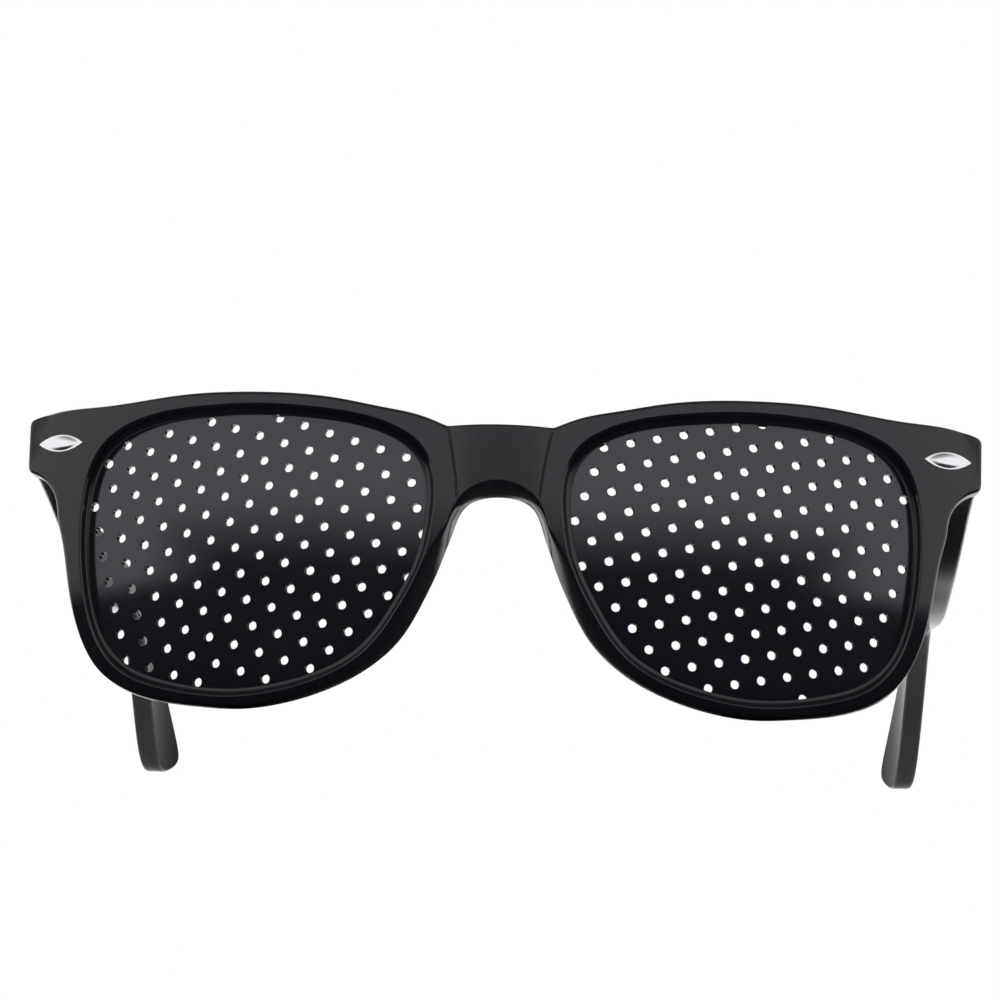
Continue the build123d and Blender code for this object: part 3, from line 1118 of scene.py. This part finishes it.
@dataclass
class SurfaceGroups:
    """The shader node groups that the finishes share, each built once."""

    made: dict[str, bpy.types.NodeTree] = field(default_factory=dict)

    def start(self, name: str, inputs: dict[str, tuple[str, float | tuple]],
              outputs: dict[str, str]) -> tuple[bpy.types.NodeTree, bpy.types.Node,
                                                bpy.types.Node]:
        """Starts a node group.

        Args:
            name: The group's name.
            inputs: Each input's name, with its socket type and default.
            outputs: Each output's name, with its socket type.

        Returns:
            The group, its input node and its output node.
        """
        group = bpy.data.node_groups.new(name, "ShaderNodeTree")
        for label, (kind, value) in inputs.items():
            socket = group.interface.new_socket(name=label, in_out="INPUT", socket_type=kind)
            socket.default_value = value
        for label, kind in outputs.items():
            group.interface.new_socket(name=label, in_out="OUTPUT", socket_type=kind)
        self.made[name] = group
        return (group, group.nodes.new("NodeGroupInput"), group.nodes.new("NodeGroupOutput"))

    def surface(self) -> bpy.types.NodeTree:
        """Gives the group that mottles colour and roughness and makes a fine relief.

        Returns:
            The group.
        """
        name = "fine_surface"
        if name in self.made:
            return self.made[name]
        group, given, out = self.start(
            name,
            {"Deep Color": ("NodeSocketColor", (0.01, 0.01, 0.01, 1.0)),
             "Light Color": ("NodeSocketColor", (0.02, 0.02, 0.02, 1.0)),
             "Smoothest": ("NodeSocketFloat", 0.1), "Roughest": ("NodeSocketFloat", 0.2),
             "Cloud Scale": ("NodeSocketFloat", 60.0), "Relief Scale": ("NodeSocketFloat", 900.0),
             "Stretch": ("NodeSocketVector", (1.0, 1.0, 1.0))},
            {"Color": "NodeSocketColor", "Roughness": "NodeSocketFloat",
             "Height": "NodeSocketFloat"})
        place = add_node(group, "ShaderNodeTexCoord", {})
        stretched = add_node(group, "ShaderNodeVectorMath", {
            0: place.outputs["Object"], 1: given.outputs["Stretch"]}, operation="MULTIPLY")
        cloud = add_node(group, "ShaderNodeTexNoise", {
            "Vector": stretched.outputs[0], "Scale": given.outputs["Cloud Scale"],
            "Detail": 3.0})
        relief = add_node(group, "ShaderNodeTexNoise", {
            "Vector": stretched.outputs[0], "Scale": given.outputs["Relief Scale"],
            "Detail": 4.0})
        colour = add_node(group, "ShaderNodeMix", {
            "Factor": cloud.outputs["Fac"], "A": given.outputs["Deep Color"],
            "B": given.outputs["Light Color"]}, data_type="RGBA")
        rough = add_node(group, "ShaderNodeMapRange", {
            "Value": relief.outputs["Fac"], "From Min": 0.3, "From Max": 0.7,
            "To Min": given.outputs["Smoothest"], "To Max": given.outputs["Roughest"]})
        feed(group, out, {
            "Color": next(socket for socket in colour.outputs if socket.type == "RGBA"),
            "Roughness": rough.outputs["Result"], "Height": relief.outputs["Fac"]})
        return group

    def scratches(self) -> bpy.types.NodeTree:
        """Gives the group that lays faint polishing scratches.

        Returns:
            The group.
        """
        name = "faint_scratches"
        if name in self.made:
            return self.made[name]
        group, given, out = self.start(
            name, {"Scale": ("NodeSocketFloat", 120.0), "Amount": ("NodeSocketFloat", 0.3)},
            {"Mask": "NodeSocketFloat"})
        place = add_node(group, "ShaderNodeTexCoord", {})
        warp = add_node(group, "ShaderNodeMapping", {
            "Vector": place.outputs["Object"], "Rotation": (0.3, 0.5, 0.7),
            "Scale": (0.06, 1.0, 1.0)})
        lines = add_node(group, "ShaderNodeTexVoronoi", {
            "Vector": warp.outputs["Vector"], "Scale": given.outputs["Scale"]},
            feature="DISTANCE_TO_EDGE")
        thin = add_node(group, "ShaderNodeMapRange", {
            "Value": lines.outputs["Distance"], "From Min": 0.0, "From Max": 0.02,
            "To Min": given.outputs["Amount"], "To Max": 0.0})
        feed(group, out, {"Mask": thin.outputs["Result"]})
        return group


@dataclass(frozen=True)
class Finish:
    """How one kind of surface looks."""

    slot: Slot
    grain: Grain
    deep: Colour
    light: Colour
    smoothest: float
    roughest: float
    cloud_scale: float
    relief_scale: float
    relief: float
    stretch: tuple[float, float, float] = (1.0, 1.0, 1.0)
    metallic: float = 0.0
    ior: float = 1.5
    scratch: float = 0.0
    gleam: Colour = (1.0, 1.0, 1.0)

    def material(self, groups: SurfaceGroups) -> bpy.types.Material:
        """Makes the finish's material.

        Args:
            groups: The shared node groups.

        Returns:
            The material.
        """
        made = bpy.data.materials.new(f"{self.slot.value}_{self.grain.value}")
        made.use_nodes = True
        tree = made.node_tree
        surface = add_node(tree, "ShaderNodeGroup", {
            "Deep Color": (*self.deep, 1.0), "Light Color": (*self.light, 1.0),
            "Smoothest": self.smoothest, "Roughest": self.roughest,
            "Cloud Scale": self.cloud_scale, "Relief Scale": self.relief_scale,
            "Stretch": self.stretch}, node_tree=groups.surface())
        marks = add_node(tree, "ShaderNodeGroup", {"Amount": self.scratch},
                         node_tree=groups.scratches())
        height = add_node(tree, "ShaderNodeMath", {
            0: surface.outputs["Height"], 1: marks.outputs["Mask"]}, operation="SUBTRACT")
        bump = add_node(tree, "ShaderNodeBump", {
            "Distance": BUMP_DEPTH, "Strength": self.relief, "Height": height.outputs[0]})
        feed(tree, tree.nodes["Principled BSDF"], {
            "Metallic": self.metallic, "IOR": self.ior, "Specular Tint": (*self.gleam, 1.0),
            "Base Color": surface.outputs["Color"], "Roughness": surface.outputs["Roughness"],
            "Normal": bump.outputs["Normal"]})
        return made


MOULDED_BLACK = Finish(
    Slot.FRAME, Grain.MOULDED, deep=(0.0035, 0.003, 0.0045), light=(0.006, 0.0055, 0.0075),
    smoothest=0.09, roughest=0.16, cloud_scale=45.0, relief_scale=700.0, relief=0.03,
    scratch=0.2, gleam=(0.98, 0.93, 1.0))
LENS_BLACK = Finish(
    Slot.LENS, Grain.MOULDED, deep=(0.0055, 0.0045, 0.008), light=(0.009, 0.0075, 0.0125),
    smoothest=0.1, roughest=0.17, cloud_scale=60.0, relief_scale=500.0, relief=0.015,
    ior=1.66, scratch=0.15, gleam=(0.96, 0.9, 1.0))
PLATED_SILVER = Finish(
    Slot.INLAY, Grain.MOULDED, deep=(0.8, 0.8, 0.83), light=(0.9, 0.9, 0.92),
    smoothest=0.08, roughest=0.16, cloud_scale=300.0, relief_scale=1500.0, relief=0.03,
    metallic=1.0, scratch=0.2)
BRUSHED_STEEL = Finish(
    Slot.HINGE, Grain.BRUSHED, deep=(0.45, 0.45, 0.46), light=(0.62, 0.62, 0.64),
    smoothest=0.24, roughest=0.42, cloud_scale=400.0, relief_scale=1800.0, relief=0.12,
    stretch=(1.0, 1.0, 0.12), metallic=1.0)
TURNED_STEEL = Finish(
    Slot.SCREW, Grain.TURNED, deep=(0.5, 0.5, 0.52), light=(0.68, 0.68, 0.7),
    smoothest=0.18, roughest=0.34, cloud_scale=500.0, relief_scale=2200.0, relief=0.1,
    stretch=(1.0, 1.0, 0.3), metallic=1.0)


@dataclass
class Hardware:
    """The hinges and screws, which keep their CAD shapes and get fine edges and finishes."""

    edge: float = 0.12
    segments: int = 2
    sharp: float = 50.0

    def dress(self, nodes: dict[str, bpy.types.Object],
              materials: dict[Slot, bpy.types.Material]) -> None:
        """Gives each hinge leaf and screw its finish and rounded edges.

        Args:
            nodes: The CAD nodes by name.
            materials: The material of each slot.
        """
        for side in Side:
            for name, slot in ((f"front_hinge_{side.word}", Slot.HINGE),
                               (f"temple_hinge_{side.word}", Slot.HINGE),
                               (f"hinge_screw_{side.word}", Slot.SCREW)):
                node = nodes[name]
                for place in node.material_slots:
                    place.material = materials[slot]
                bevel = node.modifiers.new("fine_edges", "BEVEL")
                bevel.width = self.edge * MM
                bevel.segments = self.segments
                bevel.limit_method = "ANGLE"
                bevel.angle_limit = math.radians(self.sharp)
                LOG.info("%s dressed", name)


def fade(tree: bpy.types.NodeTree, value: bpy.types.NodeSocket,
         span: tuple[float, float]) -> bpy.types.NodeSocket:
    """Adds a node that rises smoothly from 0 to 1.

    Args:
        tree: The nodes it joins.
        value: The value that drives it.
        span: The values at which it starts and ends.

    Returns:
        The node's result.
    """
    return add_node(tree, "ShaderNodeMapRange", {
        "Value": value, "From Min": span[0], "From Max": span[1]},
        interpolation_type="SMOOTHSTEP").outputs["Result"]


def greatest(tree: bpy.types.NodeTree,
             values: Sequence[bpy.types.NodeSocket]) -> bpy.types.NodeSocket:
    """Adds nodes that take the greatest of several values.

    Args:
        tree: The nodes they join.
        values: The values.

    Returns:
        The greatest value.
    """
    most = values[0]
    for value in values[1:]:
        greater = add_node(tree, "ShaderNodeMath", {0: most, 1: value}, operation="MAXIMUM")
        most = greater.outputs[0]
    return most


@dataclass
class Paint:
    """A matt paint that can turn clear, for what stands round the glasses."""

    name: str
    colour: tuple[float, float, float, float]

    def __post_init__(self) -> None:
        """Starts the paint's material."""
        self.made = bpy.data.materials.new(self.name)
        self.made.use_nodes = True
        self.tree = self.made.node_tree
        self.tree.nodes.remove(self.tree.nodes["Principled BSDF"])

    def places(self) -> bpy.types.NodeSocket:
        """Gives the places on the piece, in metres."""
        return self.tree.nodes.new("ShaderNodeTexCoord").outputs["Object"]

    def finish(self, clear: bpy.types.NodeSocket) -> bpy.types.Material:
        """Finishes the material.

        Args:
            clear: How clear the paint is, from 0 to 1.

        Returns:
            The material.
        """
        paint = add_node(self.tree, "ShaderNodeBsdfDiffuse", {"Color": self.colour})
        nothing = add_node(self.tree, "ShaderNodeBsdfTransparent", {})
        blend = add_node(self.tree, "ShaderNodeMixShader", {
            "Fac": clear, 1: paint.outputs[0], 2: nothing.outputs[0]})
        feed(self.tree, self.tree.nodes["Material Output"], {"Surface": blend.outputs[0]})
        return self.made


@dataclass(frozen=True)
class ShadeReflectionCard:
    """A black card beside and under the glasses, which only their gloss shows, in millimetres: a
    painted dark reflection that stands in for the shade round the glasses.
    """

    name: str
    width: float
    profile: tuple
    fade_up: tuple[float, float]
    fade_across: tuple[float, float]
    fade_back: tuple[float, float]
    colour: tuple[float, float, float, float] = (0.02, 0.02, 0.022, 1.0)

    def build(self) -> bpy.types.Object:
        """Lays the card, which its own fades make clear towards its ends.

        Returns:
            The card.
        """
        half = self.width / 2 * MM
        sides = [(-half, y * MM, z * MM) for y, z in self.profile]
        others = [(half, y * MM, z * MM) for y, z in self.profile]
        last = len(sides)
        faces = [(i, i + 1, last + i + 1, last + i) for i in range(last - 1)]
        mesh = bpy.data.meshes.new(self.name)
        mesh.from_pydata(sides + others, [], faces)
        card = add_piece(self.name, mesh)
        # Unseen by the camera, by diffuse light and in shadows: the card only paints dark
        # reflections, for shade.
        card.visible_camera = card.visible_diffuse = card.visible_shadow = False
        card.visible_transmission = False
        paint = Paint(f"{self.name}_black", self.colour)
        parts = add_node(paint.tree, "ShaderNodeSeparateXYZ", {0: paint.places()})
        away = add_node(paint.tree, "ShaderNodeMath", {0: parts.outputs["X"]},
                        operation="ABSOLUTE")
        fades = [fade(paint.tree, source, (start * MM, end * MM))
                 for source, (start, end) in ((parts.outputs["Z"], self.fade_up),
                                              (away.outputs[0], self.fade_across),
                                              (parts.outputs["Y"], self.fade_back))]
        mesh.materials.append(paint.finish(greatest(paint.tree, fades)))
        return card


@dataclass
class Studio:
    """The pale floor, the white surroundings, the cards of painted dark reflection, the soft
    lamps and the camera.
    """

    floor_height: float = -33.75
    floor_size: float = 3000.0
    floor_colour: tuple[float, float, float, float] = (0.8, 0.8, 0.815, 1.0)
    floor_fade: tuple[float, float] = (0.35, 1.3)
    surround: float = 1.0
    fill: float = 0.75
    painted_overhead_shade: float = 0.22
    painted_shade_heights: tuple[float, float] = (0.62, 0.9)
    # Black cards that only the gloss shows: painted dark reflections of the shade in front of,
    # under and behind the glasses.
    cards: tuple[ShadeReflectionCard, ...] = (
        ShadeReflectionCard("front_shade_card", 900.0, ((150.0, -33.68), (-260.0, -33.68), (-300.0, -25.0),
                                       (-320.0, 0.0), (-325.0, 160.0)),
                 (-28.0, 110.0), (170.0, 430.0), (95.0, 150.0)),
        ShadeReflectionCard("back_shade_card", 150.0, ((200.0, -33.68), (200.0, 80.0)),
                 (35.0, 80.0), (40.0, 75.0), (300.0, 400.0)),
    )
    lamps: tuple = (
        ("overhead", (0.0, 0.0, 0.9), (1.2, 0.9), 7.0),
        ("left_bank", (-0.9, -0.35, 0.5), (0.7, 0.9), 3.0),
        ("right_bank", (0.9, -0.35, 0.5), (0.7, 0.9), 3.0),
    )
    lamp_target: tuple[float, float, float] = (0.0, 0.04, -0.01)
    camera_place: tuple[float, float, float] = (26.265, -590.820, -95.2)
    camera_right: tuple[float, float, float] = (0.99885, 0.03971, 0.02683)
    camera_ahead: tuple[float, float, float] = (-0.04341, 0.98686, 0.15562)
    camera_lens: float = 144.0
    camera_sensor: float = 36.0
    camera_reach: tuple[float, float] = (0.02, 20.0)

    def floor(self) -> bpy.types.Object:
        """Lays the floor, which is clear from below and fades into the surroundings.

        Returns:
            The floor.
        """
        half, height = self.floor_size / 2 * MM, self.floor_height * MM
        mesh = bpy.data.meshes.new("floor")
        mesh.from_pydata([(-half, -half, height), (half, -half, height), (half, half, height),
                          (-half, half, height)], [], [(0, 1, 2, 3)])
        floor = add_piece("floor", mesh)
        paint = Paint("pale_floor", self.floor_colour)
        far = add_node(paint.tree, "ShaderNodeVectorMath", {0: paint.places()},
                       operation="LENGTH")
        behind = add_node(paint.tree, "ShaderNodeNewGeometry", {})
        clear = greatest(paint.tree, (fade(paint.tree, far.outputs["Value"], self.floor_fade),
                                      behind.outputs["Backfacing"]))
        mesh.materials.append(paint.finish(clear))
        return floor

    def surroundings(self) -> None:
        """Makes the world white where it is seen or mirrored, and softer as a light. High above
        it is darkened for light and gloss only: painted shade that gives the bevels a dark
        reflected line, while the camera always sees white.
        """
        world = bpy.data.worlds.new("white_room")
        bpy.context.scene.world = world
        world.use_nodes = True
        tree = world.node_tree
        place = add_node(tree, "ShaderNodeTexCoord", {})
        parts = add_node(tree, "ShaderNodeSeparateXYZ", {0: place.outputs["Generated"]})
        low, high = self.painted_shade_heights
        # Painted shade: darker high above, for light and gloss only; the camera still sees white
        # through the maximum below.
        shade = add_node(tree, "ShaderNodeMapRange", {
            "Value": parts.outputs["Z"], "From Min": low, "From Max": high, "To Min": 1.0,
            "To Max": self.painted_overhead_shade}, interpolation_type="SMOOTHSTEP")
        rays = add_node(tree, "ShaderNodeLightPath", {}).outputs
        pale = greatest(tree, (shade.outputs["Result"], rays["Is Camera Ray"]))
        seen = greatest(tree, (rays["Is Camera Ray"], rays["Is Glossy Ray"],
                               rays["Is Transmission Ray"]))
        level = add_node(tree, "ShaderNodeMapRange", {
            "Value": seen, "To Min": self.fill, "To Max": self.surround})
        feed(tree, tree.nodes["Background"],
             {"Color": pale, "Strength": level.outputs["Result"]})

    def lamp(self, name: str, place: tuple[float, float, float], size: tuple[float, float],
             power: float) -> None:
        """Hangs a soft rectangular lamp that faces the glasses, unseen in their gloss.

        Args:
            name: The lamp's name.
            place: Where it hangs, in metres.
            size: Its width and height in metres.
            power: Its power in watts.
        """
        light = bpy.data.lights.new(name, "AREA")
        light.shape = "RECTANGLE"
        light.size, light.size_y = size
        light.energy = power
        lamp = add_piece(name, light)
        lamp.location = place
        lamp.visible_glossy = False
        aim = Vector(self.lamp_target) - Vector(place)
        lamp.rotation_euler = aim.to_track_quat("-Z", "Y").to_euler()

    def camera(self) -> None:
        """Sets up the camera where the photograph was taken from."""
        data = bpy.data.cameras.new("camera")
        data.lens = self.camera_lens
        data.sensor_width = self.camera_sensor
        data.clip_start, data.clip_end = self.camera_reach
        camera = add_piece("camera", data)
        right = Vector(self.camera_right).normalized()
        ahead = Vector(self.camera_ahead).normalized()
        up = right.cross(ahead).normalized()
        right = ahead.cross(up)
        turned = Matrix((right, up, -ahead)).transposed().to_4x4()
        turned.translation = Vector(self.camera_place) * MM
        camera.matrix_world = turned
        bpy.context.scene.camera = camera

    def build(self) -> None:
        """Builds the stage, the light and the camera."""
        self.floor()
        for card in self.cards:
            card.build()
        self.surroundings()
        for lamp in self.lamps:
            self.lamp(*lamp)
        self.camera()
        bpy.context.scene.view_settings.view_transform = "Standard"


@dataclass
class Glasses:
    """The whole pair: the front and all that it carries, and both temples."""

    nodes: dict[str, bpy.types.Object]
    opening: LensOpening = field(default_factory=LensOpening)
    lens_turns: dict[Side, float] = field(
        default_factory=lambda: {Side.LEFT: -16.35, Side.RIGHT: 9.95})
    lens_starts: dict[Side, tuple[float, float]] = field(
        default_factory=lambda: {Side.LEFT: (-0.58, -0.44), Side.RIGHT: (0.7, -0.75)})

    def place(self, piece: bpy.types.Object, node: str, body: str, slot: Slot,
              materials: dict[Slot, bpy.types.Material]) -> None:
        """Dresses a piece and makes it stand for its CAD node.

        Args:
            piece: The piece.
            node: The CAD node it stands for.
            body: The body it rides on.
            slot: The slot of its finish.
            materials: The material of each slot.
        """
        piece.data.materials.append(materials[slot])
        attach(piece, body)
        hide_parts(node)
        LOG.info("%s stands for %s, with %d faces", piece.name, node, len(piece.data.polygons))

    def build(self, materials: dict[Slot, bpy.types.Material]) -> None:
        """Builds every piece.

        Args:
            materials: The material of each slot.
        """
        self.place(Front(self.opening).build(), "front_frame", "front", Slot.FRAME, materials)
        for side in Side:
            lens = Lens(side, self.opening, self.lens_turns[side], self.lens_starts[side])
            self.place(lens.build(), f"lens_{side.word}", "front", Slot.LENS, materials)
            self.place(Inlay(side).build(), f"accent_{side.word}", "front", Slot.INLAY,
                       materials)
            self.place(Temple(side).build(), f"temple_{side.word}", f"{side.word}_temple",
                       Slot.FRAME, materials)
        Hardware().dress(self.nodes, materials)


def main() -> None:
    """Builds the stage and the glasses, and reports each piece."""
    logging.basicConfig(level=logging.INFO, format="%(name)s: %(message)s")
    Studio().build()
    groups = SurfaceGroups()
    finishes = (MOULDED_BLACK, LENS_BLACK, PLATED_SILVER, BRUSHED_STEEL, TURNED_STEEL)
    materials = {finish.slot: finish.material(groups) for finish in finishes}
    Glasses(frame["nodes"]).build(materials)


if __name__ == "__main__":
    main()
